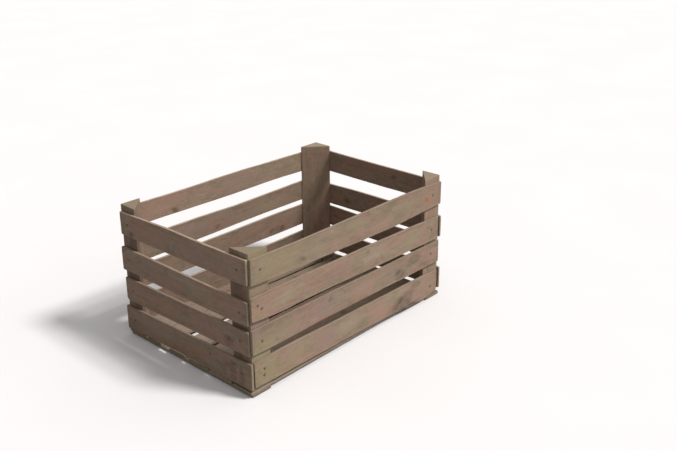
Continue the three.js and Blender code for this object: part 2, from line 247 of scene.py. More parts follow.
# Coloured patches: [along, height, half length, half height, strength, colour]. The dark patches on
# the two left posts are painted shade.
TINTS = {
    "front_slat_1": [
        (240, 254, 22, 15, 0.50, TERRA), (262, 246, 26, 12, 0.35, RUDDY),
        (75, 244, 46, 17, 0.60, ROSE), (-225, 262, 90, 34, 0.62, STRAW),
        (-120, 258, 50, 20, 0.40, SALLOW), (0, 266, 44, 16, 0.35, STRAW),
        (160, 264, 50, 18, 0.42, SALLOW), (-60, 246, 34, 12, 0.30, ROSE)],
    "front_slat_2": [
        (-286, 180, 13, 26, 0.60, (0.300, 0.196, 0.112)), (-262, 172, 34, 20, 0.50, ROSE),
        (-200, 190, 40, 18, 0.35, BONE), (-60, 182, 60, 18, 0.30, MAUVE),
        (60, 186, 60, 20, 0.42, BONE), (190, 178, 60, 20, 0.45, SALLOW)],
    "front_slat_3": [
        (-262, 102, 46, 20, 0.62, STRAW), (-200, 118, 40, 16, 0.38, SALLOW),
        (-100, 122, 56, 20, 0.55, MAUVE), (30, 114, 64, 24, 0.62, ROSE),
        (120, 122, 40, 16, 0.30, MAUVE), (262, 108, 26, 22, 0.45, ROSE),
        (-285, 140, 16, 8, 0.45, MAUVE)],
    "front_slat_4": [
        (-262, 48, 52, 34, 0.72, STRAW), (-190, 44, 34, 22, 0.45, SALLOW),
        (-95, 50, 44, 24, 0.62, MAUVE), (-20, 52, 50, 20, 0.45, BONE),
        (68, 44, 40, 24, 0.62, ROSE), (120, 54, 30, 16, 0.30, STRAW),
        (252, 44, 40, 24, 0.50, ROSE)],
    "back_slat_1": [(-200, 262, 80, 24, 0.5, ROSE), (40, 262, 80, 20, 0.4, MAUVE)],
    "back_slat_2": [(-120, 184, 90, 20, 0.45, MAUVE), (120, 180, 60, 20, 0.35, SALLOW)],
    "left_end_slat_1": [(-60, 262, 70, 20, 0.40, MAUVE), (90, 258, 50, 20, 0.35, RUDDY)],
    "left_end_slat_2": [(-60, 180, 60, 20, 0.35, STRAW), (90, 176, 60, 20, 0.35, MAUVE)],
    "left_end_slat_3": [(60, 110, 70, 20, 0.35, RUDDY), (-60, 116, 50, 18, 0.30, MAUVE)],
    "left_end_slat_4": [(90, 42, 60, 20, 0.35, SALLOW), (-30, 44, 50, 18, 0.35, RUDDY)],
    "post_front_left": [
        (270, 54, 60, 40, 0.75, STRAW), (224, 54, 22, 26, 0.60, TAN),
        (150, 54, 14, 26, 0.55, MAUVE), (84, 54, 20, 26, 0.85, SALLOW),
        # painted shade over the face behind the left end slats
        (150, 94, 170, 26, 0.85, (0.108, 0.063, 0.044))],
    # painted shade over the face behind the left end slats
    "post_back_left": [(150, 94, 170, 26, 0.85, (0.105, 0.064, 0.046))],
    "bottom_board_1": [(-220, -167, 110, 60, 0.55, (0.252, 0.200, 0.160))],
    "bottom_board_2": [(-220, -106, 110, 60, 0.50, (0.285, 0.226, 0.184))],
    "bottom_board_3": [(-220, -32, 110, 60, 0.60, (0.262, 0.205, 0.166))],
    "bottom_board_4": [(-220, 35, 110, 60, 0.60, (0.256, 0.202, 0.164))],
    "bottom_board_5": [(-220, 109, 110, 60, 0.60, (0.250, 0.196, 0.160))],
    "bottom_board_6": [(-220, 165, 110, 60, 0.60, (0.246, 0.194, 0.158))],
    "post_front_right": [(220, 86, 24, 26, 0.45, ROSE), (270, 70, 30, 30, 0.35, SALLOW)],
}
# Board-to-board tone: [brightness, more pink (+) or less (-)]. Back slats 2 and 3 are darker partly
# as painted shade inside the crate.
TONES = {
    "front_slat_1": (0.96, 0.0), "front_slat_2": (1.0, 0.25),
    "front_slat_3": (0.95, 0.15), "front_slat_4": (1.04, 0.05),
    # back_slat_2 and back_slat_3 are darker partly as painted shade inside the crate
    "back_slat_1": (0.98, 0.05), "back_slat_2": (0.86, 0.1),
    "back_slat_3": (0.85, 0.2), "back_slat_4": (0.76, 0.0),
    "left_end_slat_1": (1.0, 0.7), "left_end_slat_2": (1.0, 0.5),
    "left_end_slat_3": (0.97, 0.8), "left_end_slat_4": (0.98, 0.3),
    "right_end_slat_1": (1.0, 0.9), "right_end_slat_2": (0.95, 0.8),
    "right_end_slat_3": (0.97, 0.6), "right_end_slat_4": (0.95, 0.6),
    "post_front_left": (0.86, 0.0), "post_front_right": (0.98, 0.2),
    "post_back_right": (1.07, 0.0), "post_back_left": (0.86, 0.25),
    "bottom_board_1": (0.88, -0.4), "bottom_board_2": (1.10, -0.1), "bottom_board_3": (0.90, 0.0),
    "bottom_board_4": (0.88, 0.1), "bottom_board_5": (0.86, -0.1), "bottom_board_6": (0.85, -0.2),
    "runner_left": (0.74, -0.3), "runner_right": (0.80, 0.6),
}


# ------------------------------------------------------------------ random and smooth curves
def seeded(*key):
    """A random source fixed by its key."""
    return np.random.RandomState(zlib.crc32("|".join(map(str, key)).encode()) & 0x7FFFFFFF)


def wave(key, size, amp, octaves=2):
    """A smooth random curve: size is the length of its bumps and amp their height."""
    table = seeded("wave", key).uniform(-1, 1, (octaves, 1024))

    def curve(x):
        x = np.asarray(x, float)
        total = np.zeros_like(x)
        for o in range(octaves):
            place = x / (size / 2**o) + 311.7 * (o + 1)
            cell = np.floor(place).astype(int)
            u = place - cell
            u = u * u * u * (u * (u * 6 - 15) + 10)
            row = table[o]
            total = total + (row[cell % 1024] * (1 - u) + row[(cell + 1) % 1024] * u) / 2**o
        return amp * total

    return curve


def sheet(key, size_x, size_y, amp, octaves=2):
    """A smooth random relief over two directions."""
    table = seeded("sheet", key).uniform(-1, 1, (octaves, 128, 128))

    def relief(x, y):
        total = 0.0
        for o in range(octaves):
            px = np.asarray(x, float) / (size_x / 2**o) + 57.3
            py = np.asarray(y, float) / (size_y / 2**o) + 91.9
            ix, iy = np.floor(px).astype(int), np.floor(py).astype(int)
            ux, uy = px - ix, py - iy
            ux, uy = ux * ux * (3 - 2 * ux), uy * uy * (3 - 2 * uy)

            def row(j):
                return table[o][ix % 128, j % 128] * (1 - ux) + table[o][(ix + 1) % 128, j % 128] * ux

            total = total + (row(iy) * (1 - uy) + row(iy + 1) * uy) / 2**o
        return amp * total

    return relief


def through(points):
    """A smooth curve through [position, value] pairs."""
    x, y = np.array(points, float).T
    rise = np.diff(y) / np.diff(x)
    slope = np.empty_like(y)
    slope[0], slope[-1] = rise[0], rise[-1]
    for i in range(1, len(x) - 1):
        before, after = x[i] - x[i - 1], x[i + 1] - x[i]
        slope[i] = (rise[i - 1] * after + rise[i] * before) / (before + after)

    def curve(q):
        i = np.clip(np.searchsorted(x, q) - 1, 0, len(x) - 2)
        span = x[i + 1] - x[i]
        u = np.clip((q - x[i]) / span, 0, 1)
        return ((2 * u**3 - 3 * u**2 + 1) * y[i] + (u**3 - 2 * u**2 + u) * span * slope[i]
                + (3 * u**2 - 2 * u**3) * y[i + 1] + (u**3 - u**2) * span * slope[i + 1])

    return curve


# ------------------------------------------------------------------ mesh helpers
def make_object(name, points, quads, tris, attributes, material, replaced=None):
    """A closed mesh, its faces turned outwards, riding on the crate's one body."""
    points = np.asarray(points, float)
    quads = np.asarray(quads, int).reshape(-1, 4)
    tris = np.asarray(tris, int).reshape(-1, 3)
    volume = 0.0
    for faces in (quads, tris):
        for k in range(1, faces.shape[1] - 1):
            normal = np.cross(points[faces[:, k]], points[faces[:, k + 1]])
            volume += np.einsum("ij,ij->i", points[faces[:, 0]], normal).sum()
    if volume < 0:
        quads, tris = quads[:, ::-1], tris[:, ::-1]
    mesh = bpy.data.meshes.new(name)
    mesh.vertices.add(len(points))
    mesh.vertices.foreach_set("co", (points * MM).astype(np.float32).ravel())
    loops = np.concatenate([quads.ravel(), tris.ravel()])
    sizes = np.concatenate([np.full(len(quads), 4), np.full(len(tris), 3)])
    starts = np.concatenate([[0], np.cumsum(sizes)[:-1]])
    mesh.loops.add(len(loops))
    mesh.loops.foreach_set("vertex_index", loops.astype(np.int32))
    mesh.polygons.add(len(sizes))
    mesh.polygons.foreach_set("loop_start", starts.astype(np.int32))
    mesh.polygons.foreach_set("use_smooth", np.full(len(sizes), True))
    mesh.update(calc_edges=True)
    mesh.validate()
    for key, values in attributes.items():
        values = np.asarray(values, np.float32)
        kind, field = ("FLOAT_VECTOR", "vector") if values.ndim == 2 else ("FLOAT", "value")
        mesh.attributes.new(key, kind, "POINT").data.foreach_set(field, values.ravel())
    ob = bpy.data.objects.new(name, mesh)
    bpy.context.scene.collection.objects.link(ob)
    mesh.materials.append(material)
    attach(ob, "root")
    if replaced:
        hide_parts(replaced)
    return ob


def stations(start, end, head, step):
    """Places of the rings along a piece: close together at both ends, then about a step apart."""
    head = np.array(head)
    count = max(8, int(round((end - start - 2 * head[-1]) / step)))
    middle = np.linspace(start + head[-1], end - head[-1], count + 1)
    return np.concatenate([start + head[:-1], middle, end - head[:-1][::-1]])


def mark_ends(values, marks, mask=1.0):
    """Raise the first and last rings to the marks, the outermost ring first."""
    for k, mark in enumerate(marks):
        for j in (k, -1 - k):
            values[j] = np.maximum(values[j], mark * mask)
    return values


def skin(index):
    """Quads between rings of point numbers, each ring closed on itself."""
    after = np.roll(index, -1, 1)
    return np.stack([index[:-1], after[:-1], after[1:], index[1:]], -1).reshape(-1, 4)


def knot_relief(along, across, radius, strength, lip, pit):
    """A raised lip round a knot and a hollow in it, positive into the wood."""
    d = np.hypot(along * 0.8, across) / radius
    return strength * (pit * np.exp(-(d**2) * 2.5) - lip * np.exp(-((d - 1.1) ** 2) * 2.2))


# ------------------------------------------------------------------ laths
ARC = ((0.2929, 0.2929), (0.617, 0.0761))  # points of a rounded arris, in radii
LATH_COLUMNS, LATH_STEP = 18, 3.6
LATH_HEAD, LATH_INSETS = (0.0, 0.22, 0.6, 1.3, 2.6), (0.5, 0.18, 0.04)
LAYERS = 6  # steps through the thickness
END_WEAR, CAP_MARKS = (1.0, 0.8, 0.3), (1.0, 0.5)


def arris_radii(name, rng, along, thick, base_radius):
    """Radii along the four long edges, worn unevenly, with a few chips."""
    radii = np.empty((len(along), 4))
    for corner in range(4):
        radius = base_radius * (1 + 0.35 * wave((name, "r", corner), 60, 1.0)(along))
        for _ in range(rng.poisson(2.2)):
            at, half = rng.uniform(along[0], along[-1]), rng.uniform(2.5, 9)
            radius = radius + rng.uniform(0.5, 1.5) * np.exp(-(((along - at) / half) ** 2))
        radii[:, corner] = np.clip(radius, 0.45, thick * 0.36)
    return radii


def column_shares(width, cracks):
    """Shares across a face's flat where columns run, with five close ones at each crack."""
    shares = [i / LATH_COLUMNS for i in range(1, LATH_COLUMNS)]
    for _, share, _, half, _ in cracks:
        side = (half + 0.35) / width
        shares = [f for f in shares if abs(f - share) > side + 0.7 / width]
        shares += [share - side, share - half / width, share, share + half / width, share + side]
    return sorted(shares)


def broad_face(lower, upper, radius_low, radius_high, shares, flow):
    """Across and depth of one broad face; each edge takes two arris columns and two flat ones."""
    last = len(shares) + 7
    across, depth = np.empty((len(lower), last + 1)), np.zeros((len(lower), last + 1))
    for column, (share_in, share_deep) in enumerate(ARC):
        across[:, column], depth[:, column] = lower + share_in * radius_low, share_deep * radius_low
        across[:, last - column] = upper - share_in * radius_high
        depth[:, last - column] = share_deep * radius_high
    low, high = lower + radius_low, upper - radius_high
    across[:, 2], across[:, 3] = low, low + 0.5
    across[:, last - 3], across[:, last - 2] = high - 0.5, high
    shares = np.array(shares)
    across[:, 4 : last - 3] = (low[:, None] + 0.5 + (high - low - 1.0)[:, None] * shares
                               + flow[:, None] * np.sin(np.pi * shares) ** 0.5)
    return across, depth


def face_relief(name, side, along, across, lower, upper, knots, nails):
    """Relief of a broad face, positive into the wood, fading out at its arrises."""
    rel = sheet((name, side, "a"), 85, 16, 0.10, 2)(along, across)
    rel = rel + sheet((name, side, "b"), 70, 3.2, 0.07, 1)(along, across) + 0.14
    rel = rel + 0.10 * ((across - (lower + upper)[:, None] / 2) / ((upper - lower)[:, None] / 2)) ** 2
    for at, height, radius, strength in knots:
        rel = rel + knot_relief(along - at, across - height, radius, strength, 0.30, 0.16)
    for at, height in nails:
        rel = rel + 0.45 * np.exp(-(((along - at) ** 2 + (across - height) ** 2) / 9.0))
    window = np.ones(across.shape[1])
    window[[0, 1, 2, -3, -2, -1]] = (0.0, 0.15, 0.4, 0.4, 0.15, 0.0)
    return np.clip(rel, 0.0, 1.2) * window


def lath_wear(rings, last):
    """Arris wear, narrow edge faces and end grain, each from 0 to 1 at every grid point."""
    section = np.zeros((last + 1, LAYERS + 1))
    for k, value in enumerate((1.0, 0.9, 0.25)):
        for column in (k, last - k):
            section[column, [0, LAYERS]] = value
        for layer in (k, LAYERS - k):
            section[[0, last], layer] = value
    border = np.zeros_like(section)
    border[[0, last], :] = border[:, [0, LAYERS]] = 1
    edge = mark_ends(np.repeat(section[None], rings, 0), END_WEAR, border)
    rim = np.zeros_like(edge)
    rim[:, [0, last], :] = 1
    rim[:, [0, 0, last, last], [0, LAYERS, 0, LAYERS]] = 0.6
    return edge, rim, mark_ends(np.zeros_like(edge), CAP_MARKS)


def lath(name, place, low, high, thick, middle, material,
         knots, nails, cracks, corners, base_radius, bend):
    """One sawn lath. low and high are its edges; place(along, across, depth) gives millimetres."""
    rng = seeded("lath", name)
    start, end = high[0][0], high[-1][0]
    along = stations(start, end, LATH_HEAD, LATH_STEP)
    rings = len(along)
    from_end = (along - start, end - along)
    inset = mark_ends(np.zeros(rings), LATH_INSETS)
    # outline, with gentle saw waviness and rounded corners
    lower = through(low)(along) + wave((name, "lo"), 47, 0.22, 3)(along) + inset
    upper = through(high)(along) + wave((name, "hi"), 47, 0.22, 3)(along) - inset
    for k, radius in enumerate(corners):
        d = from_end[k // 2]
        drop = np.sqrt(np.clip(radius * radius - (radius - d) ** 2, 0, None))
        cut = np.where(d < radius, radius - drop, 0.0)
        if k % 2 == 0:
            lower = lower + cut
        else:
            upper = upper - cut
    radii = arris_radii(name, rng, along, thick, base_radius)
    shares = column_shares(float(np.median(upper - lower)) - 2 * base_radius, cracks)
    last = len(shares) + 7
    # the outer and inner faces and their relief
    flow = wave((name, "flow"), 150, 0.7)(along)
    out_v, out_d = broad_face(lower, upper, radii[:, 0], radii[:, 1], shares, flow)
    in_v, in_d = broad_face(lower, upper, radii[:, 2], radii[:, 3], shares, flow)
    grid_s = np.repeat(along[:, None], last + 1, 1)
    out_relief = face_relief(name, "o", grid_s, out_v, lower, upper, knots, nails)
    in_relief = face_relief(name, "i", grid_s, in_v, lower, upper, knots, ())
    split = np.zeros((rings, last + 1))
    for which_end, share, length, _, deep in cracks:
        column = 4 + shares.index(share)
        fade = np.clip(1 - from_end[which_end] / length, 0, 1) ** 0.6
        out_relief[:, column] += deep * fade
        in_relief[:, column] += deep * fade
        split[:, column] = fade
    # the whole grid: ring, column, layer
    q = np.arange(LAYERS + 1) / LAYERS
    v = out_v[..., None] * (1 - q) + in_v[..., None] * q
    for layer in range(1, LAYERS):
        v[:, 0, layer], v[:, last, layer] = lower, upper
    for layer, corner in ((1, 0), (LAYERS - 1, 2)):
        v[:, 0, layer] += ARC[1][1] * radii[:, corner]
        v[:, last, layer] -= ARC[1][1] * radii[:, corner + 1]
    share = np.linspace(0, 1, last + 1)
    out_r = radii[:, [0]] * (1 - share) + radii[:, [1]] * share
    in_r = radii[:, [2]] * (1 - share) + radii[:, [3]] * share
    t = np.stack([out_d, ARC[1][0] * out_r, out_r, thick / 2 + (out_r - in_r) / 2,
                  thick - in_r, thick - ARC[1][0] * in_r, thick - in_d], -1)
    t += out_relief[..., None] * (1 - q) ** 3 - in_relief[..., None] * q**3
    # the end rings pull in through the thickness too
    t = thick / 2 + (t - thick / 2) * (1 - inset[:, None, None] / (thick / 2))
    # ends sawn slightly out of square, with a rough end grain
    s = np.repeat(grid_s[:, :, None], LAYERS + 1, 2)
    share_v = (v - (lower + upper)[:, None, None] / 2) / (upper - lower)[:, None, None]
    for sign, d in zip((1, -1), from_end):
        skew, lean = rng.uniform(-0.7, 0.7), rng.uniform(-0.35, 0.35)
        fade = np.clip(1 - d / 24, 0, 1)[:, None, None]
        s = s + fade * (skew * share_v + lean * (t / thick - 0.5) + sign * 0.35)
    rough = sheet((name, "end"), 4, 1.6, 0.16)
    s[0] += np.abs(rough(v[0], t[0]))
    s[-1] -= np.abs(rough(v[-1] + 900, t[-1]))
    # a slight bow between the nailed ends
    inside = np.clip((along - start - 45) / (end - start - 90), 0, 1)
    t = t + (rng.uniform(-bend, bend) * np.sin(np.pi * inside) ** 2)[:, None, None]
    # cracks on both faces and through the ends
    crack = np.zeros_like(s)
    crack[:, :, 0] = crack[:, :, LAYERS] = split
    for j in (0, -1):
        crack[j] = split[j][:, None]
    # points round each section, then inside the two end grids
    round_c = np.concatenate([np.arange(last), np.full(LAYERS, last),
                              np.arange(last, 0, -1), np.zeros(LAYERS, int)])
    round_m = np.concatenate([np.zeros(last, int), np.arange(LAYERS),
                              np.full(last, LAYERS), np.arange(LAYERS, 0, -1)])

    def pick(grid):
        ends = [grid[j, 1:last, 1:LAYERS].ravel() for j in (0, -1)]
        return np.concatenate([grid[:, round_c, round_m].ravel(), *ends])

    index = np.arange(rings * len(round_c)).reshape(rings, -1)
    quads = [skin(index)]
    inner = (last - 1) * (LAYERS - 1)
    for e, j in enumerate((0, -1)):
        grid = np.empty((last + 1, LAYERS + 1), int)
        grid[round_c, round_m] = index[j]
        first = index.size + e * inner
        grid[1:last, 1:LAYERS] = np.arange(first, first + inner).reshape(last - 1, -1)
        cells = [grid[:-1, :-1], grid[:-1, 1:], grid[1:, 1:], grid[1:, :-1]]
        cap = np.stack(cells, -1).reshape(-1, 4)
        quads.append(cap if e == 0 else cap[:, ::-1])
    s, v, t = pick(s), pick(v), pick(t)
    attributes = {
        "gc": np.stack([s, v - middle, t], 1),
        "wr": np.stack([pick(grid) for grid in lath_wear(rings, last)], 1),
        "ck": pick(crack),
    }
    make_object(name, np.stack(place(s, v, t), 1), np.concatenate(quads), [], attributes,
                material, replaced=name)


# ------------------------------------------------------------------ corner posts
POST_GAP = 0.05
POST_RADII = (1.0, 0.8, 0.8)
POST_HEAD, POST_STEP, POST_INSETS = (0.0, 0.3, 0.8, 1.8, 3.4), 4.2, (0.6, 0.22, 0.05)
CAP_SHARES = (0.965, 0.9, 0.78, 0.64, 0.5, 0.36, 0.22, 0.1)


def post_section(corners, angles):
    """Points round a triangle with rounded corners, and how near each is to a corner's middle."""
    points, wear = [], []
    for i, corner in enumerate(corners):
        after, before = corners[(i + 1) % 3], corners[i - 1]
        back = (before - corner) / np.linalg.norm(before - corner)
        ahead = (after - corner) / np.linalg.norm(after - corner)
        angle = math.acos(float(back @ ahead))
        radius = POST_RADII[i]
        reach = radius / math.tan(angle / 2)
        bisector = (back + ahead) / np.linalg.norm(back + ahead)
        centre = corner + bisector * (radius / math.sin(angle / 2))
        first, final = corner + back * reach - centre, corner + ahead * reach - centre
        turn = math.atan2(first[1], first[0])
        sweep = (math.atan2(final[1], final[0]) - turn + math.pi) % (2 * math.pi) - math.pi
        for k in range(7):
            theta = turn + sweep * k / 6
            points.append(centre + radius * np.array([math.cos(theta), math.sin(theta)]))
            wear.append(1.0 - 0.9 * abs(k - 3) / 3)
        n = (i + 1) % 3
        start = corner + ahead * reach
        end = after - ahead * (POST_RADII[n] / math.tan(angles[n] / 2))
        cells = 20 if i == 1 else 13  # the diagonal has more
        for k in range(1, cells):
            points.append(start + (end - start) * k / cells)
            wear.append(0.0)
    return np.array(points), np.array(wear)


def outward(points, centre):
    """Unit directions out of a closed outline."""
    chord = np.roll(points, -1, 0) - np.roll(points, 1, 0)
    normal = np.stack([chord[:, 1], -chord[:, 0]], 1)
    normal /= np.linalg.norm(normal, axis=1)[:, None]
    return -normal if ((points - centre) * normal).sum() < 0 else normal


def post(name, sign_x, sign_y, leg_x, leg_y, material, knots):
    """A triangular corner post, worked out for +x +y; its right angle is at the crate's corner."""
    rng = seeded("post", name)
    corner = np.array([INNER_X - POST_GAP, INNER_Y - POST_GAP])
    corners = [corner, np.array([INNER_X - leg_x, corner[1]]), np.array([corner[0], INNER_Y - leg_y])]
    angles = (math.pi / 2, math.atan2(leg_y, leg_x), math.atan2(leg_x, leg_y))
    section, tag = post_section(corners, angles)
    centre = sum(corners) / 3
    normal = outward(section, centre)
    heights = stations(DECK_Z, HEIGHT, POST_HEAD, POST_STEP)
    inset = mark_ends(np.zeros(len(heights)), POST_INSETS)
    steps = np.linalg.norm(np.diff(section, axis=0), axis=1)
    girth = np.concatenate([[0], np.cumsum(steps)])
    z, q = np.meshgrid(heights, girth, indexing="ij")
    # the sawn diagonal face is rougher than the two faces against the slats
    diagonal = np.abs(normal @ np.array([1.0, 1.0]) / math.sqrt(2) + 1) < 0.2
    rel = sheet((name, "a"), 70, 9, 0.10, 2)(z, q) + sheet((name, "b"), 60, 2.6, 0.05, 1)(z, q)
    rel = (rel + 0.12) * np.where(diagonal, 1.6, 0.6)
    saw_phase = z * 2 * np.pi / 11.0 + wave((name, "saw"), 40, 1.2)(z)
    rel = rel + np.where(diagonal, 0.10 * np.sin(saw_phase), 0)
    # worn and chipped arrises
    wear = (0.5 + 0.5 * wave((name, "w"), 45, 1.0)(z)) * tag
    for _ in range(5):
        at, half, deep = rng.uniform(DECK_Z, HEIGHT), rng.uniform(3, 8), rng.uniform(0.4, 1.3)
        near = np.abs(q - rng.uniform(0, girth[-1])) < 40
        wear = wear + deep * np.exp(-(((z - at) / half) ** 2)) * tag * near
    girth_middle = girth[diagonal].mean()
    for at, aside, radius, strength in knots:
        rel = rel + knot_relief(z - at, q - (girth_middle + aside), radius, strength, 0.25, 0.14)
    inward = inset[:, None] + np.clip(rel, 0, None) + 0.45 * np.clip(wear, 0, None)
    plan = section - normal * inward[..., None]
    # the top is sawn slightly out of level
    slope = rng.uniform(-0.010, 0.010, 2)
    z = z + np.clip(1 - (HEIGHT - z) / 30, 0, 1) * ((plan - centre) @ slope - 0.45)
    points, grain, worn = [], [], []

    def add(plan, z, edge, cap):
        x, y = plan[..., 0], plan[..., 1]
        points.append(np.stack([sign_x * x, sign_y * y, z], -1).reshape(-1, 3))
        inwards = (corner.sum() - x - y) / math.sqrt(2)
        grain.append(np.stack([z, (x - y) / math.sqrt(2), inwards], -1).reshape(-1, 3))
        worn.append(np.stack([edge, np.zeros_like(z), cap], -1).reshape(-1, 3))

    edge = mark_ends(np.repeat(tag[None], len(heights), 0), END_WEAR)
    add(plan, z, edge, mark_ends(np.zeros_like(z), CAP_MARKS))
    index = np.arange(z.size).reshape(z.shape)
    quads, tris = [skin(index)], []
    count, size = z.size, len(section)
    # end faces: loops shrinking to the middle, with rough end grain and two radial checks
    for e, j in enumerate((0, -1)):
        order = 1 if e == 0 else -1
        level = z[j].mean()
        rough = sheet((name, "cap", e), 3.5, 3.5, 0.16)
        check_angles = [seeded(name, "check", e, k).uniform(-math.pi, math.pi) for k in range(2)]
        outer = index[j]
        for share in CAP_SHARES:
            ring = centre + (plan[j] - centre) * share
            deep = np.abs(rough(ring[:, 0], ring[:, 1]))
            angle = np.arctan2(ring[:, 1] - centre[1], ring[:, 0] - centre[0])
            for check in check_angles:
                near = np.exp(-((np.angle(np.exp(1j * (angle - check))) / 0.05) ** 2))
                deep = deep + near * 0.7 * (share - 0.2)
            ring_z = level + ((ring - centre) @ slope) * (e == 1) + deep * order
            add(ring, ring_z, np.full(size, 0.25 if share > 0.95 else 0.0), np.ones(size))
            loop = np.arange(count, count + size)
            count += size
            band = np.stack([outer, loop, np.roll(loop, -1), np.roll(outer, -1)], -1)
            quads.append(band[:, ::order])
            outer = loop
        points.append([[sign_x * centre[0], sign_y * centre[1], level]])
        grain.append([[heights[j], 0.0, (corner.sum() - centre.sum()) / math.sqrt(2)]])
        worn.append([[0.0, 0.0, 1.0]])
        fan = np.stack([outer, np.full(size, count), np.roll(outer, -1)], -1)
        tris.append(fan[:, ::order])
        count += 1
    attributes = {"gc": np.concatenate(grain), "wr": np.concatenate(worn), "ck": np.zeros(count)}
    make_object(name, np.concatenate(points), np.concatenate(quads), np.concatenate(tris),
                attributes, material, replaced=name)


# ------------------------------------------------------------------ nails
# Head and shank: [radius, height above the wood].
NAIL_PROFILE = [
    (0.0, 0.34), (0.7, 0.32), (1.4, 0.24), (2.0, 0.08), (2.4, -0.12), (2.6, -0.34), (2.58, -0.56),
    (2.4, -0.74), (1.5, -0.9), (1.12, -1.15), (1.1, -4.0), (1.1, -9.0)]
NAIL_SEGMENTS = 24
nail_count = 0


def nail(name, seat, out, replaced=None, length=18.0):
    """A wire nail: seat is where it enters the wood's face, out the way its head faces."""
    global nail_count
    nail_count += 1
    rng = seeded("nail", name)
    profile = NAIL_PROFILE + [(1.1, -length + 1.5), (0.62, -length + 0.6), (0.0, -length)]
    seat, out = np.array(seat, float), np.array(out, float)
    side = np.cross(out, (0.0, 0, 1) if abs(out[2]) < 0.9 else (1.0, 0, 0))
    side /= np.linalg.norm(side)
    other = np.cross(out, side)
    tilt = rng.uniform(-0.05, 0.05, 2)
    oval = 1 + rng.uniform(-0.05, 0.05)
    points, rings = [], []
    for radius, height in profile:
        if radius == 0:
            rings.append([len(points)] * NAIL_SEGMENTS)
            points.append(seat + out * height)
            continue
        rings.append(range(len(points), len(points) + NAIL_SEGMENTS))
        for i in range(NAIL_SEGMENTS):
            theta = 2 * math.pi * i / NAIL_SEGMENTS
            wobble = 0.035 * math.sin(3 * theta + rng.uniform(-0.3, 0.3))
            around = radius * (1 + wobble if height > -0.9 else 1)
            x, y = around * math.cos(theta), around * math.sin(theta) * oval
            lift = tilt[0] * x + tilt[1] * y if height > -1 else 0
            points.append(seat + side * x + other * y + out * (height + lift))
    quads, tris = [], []
    for upper, lower in zip(rings, rings[1:]):
        for i in range(NAIL_SEGMENTS):
            j = (i + 1) % NAIL_SEGMENTS
            if upper[i] == upper[j]:
                tris.append((upper[i], lower[i], lower[j]))
            elif lower[i] == lower[j]:
                tris.append((upper[i], lower[i], upper[j]))
            else:
                quads.append((upper[i], lower[i], lower[j], upper[j]))
    # each nail takes its own part of the rust pattern
    own = np.array(points) - seat
    shifted = [own @ side + nail_count * 7.3, own @ other + nail_count * 3.1, own @ out]
    make_object(name, points, quads, tris, {"gc": np.stack(shifted, 1)}, steel, replaced)


# ------------------------------------------------------------------ shader node helpers
class Value:
    """A shader socket; arithmetic on it makes math nodes."""

    def __init__(self, tree, socket):
        self.tree, self.socket = tree, socket

    def __add__(self, other):
        return self.tree.math("ADD", self, other)

    def __sub__(self, other):
        return self.tree.math("SUBTRACT", self, other)

    def __rsub__(self, other):
        return self.tree.math("SUBTRACT", other, self)

    def __mul__(self, other):
        return self.tree.math("MULTIPLY", self, other)

    def times_plus(self, factor, offset):
        return self.tree.math("MULTIPLY_ADD", self, factor, offset)

    def vary(self, amount, base=1.0):
        """The base, moved up and down by a noise centred on 0.5."""
        return (self - 0.5).times_plus(amount, base)

    def ramp(self, start, end, low=0.0, high=1.0):
        """A smooth step from low at start to high at end."""
        return self.tree.value("ShaderNodeMapRange", {0: self, 1: start, 2: end, 3: low, 4: high},
                               interpolation_type="SMOOTHSTEP", clamp=True)


class Tree:
    """The node tree of a material or world."""

    def __init__(self, owner):
        self.owner = owner
        owner.use_nodes = True
        owner.node_tree.nodes.clear()

    def node(self, kind, inputs, **props):
        node = self.owner.node_tree.nodes.new(kind)
        for key, prop in props.items():
            setattr(node, key, prop)
        for key, value in inputs.items():
            if isinstance(value, Value):
                self.owner.node_tree.links.new(value.socket, node.inputs[key])
            else:
                is_colour = isinstance(value, tuple)
                node.inputs[key].default_value = (*value, 1.0) if is_colour else value
        return node

    def value(self, kind, inputs=(), output=0, **props):
        return Value(self, self.node(kind, dict(inputs), **props).outputs[output])

    def math(self, operation, *values):
        return self.value("ShaderNodeMath", enumerate(values), operation=operation)

    def split(self, vector):
        node = self.node("ShaderNodeSeparateXYZ", {0: vector})
        return [Value(self, socket) for socket in node.outputs]

    def attribute(self, name, output="Vector"):
        return self.value("ShaderNodeAttribute", output=output, attribute_name=name)

    def noise(self, place, scale=1.0, detail=2.0, rough=0.5, distort=0.0, line=False):
        """3D noise, or noise along a line."""
        inputs = {"W" if line else "Vector": place, "Scale": scale, "Detail": detail,
                  "Roughness": rough, "Distortion": distort}
        return self.value("ShaderNodeTexNoise", inputs, noise_dimensions="1D" if line else "3D")

    def mix(self, amount, a, b, blend="MIX"):
        return self.value("ShaderNodeMix", {0: amount, 6: a, 7: b}, output=2,
                          data_type="RGBA", blend_type=blend, clamp_factor=True)

    def shaded(self, colour, light):
        """A colour times a brightness."""
        grey = self.value("ShaderNodeCombineXYZ", {0: light, 1: light, 2: light})
        return self.mix(1.0, colour, grey, "MULTIPLY")

    def finish(self, colour, rough, height, distance=0.001, metallic=0.0, specular=0.3):
        bump = self.value("ShaderNodeBump",
                          {"Strength": 1.0, "Distance": distance, "Height": height})
        surface = self.value("ShaderNodeBsdfPrincipled", {
            "Base Color": colour, "Roughness": rough, "Metallic": metallic,
            "Specular IOR Level": specular, "Normal": bump})
        self.node("ShaderNodeOutputMaterial", {0: surface})
        return self.owner


def scaled(colour, factor):
    return tuple(x * factor for x in colour)


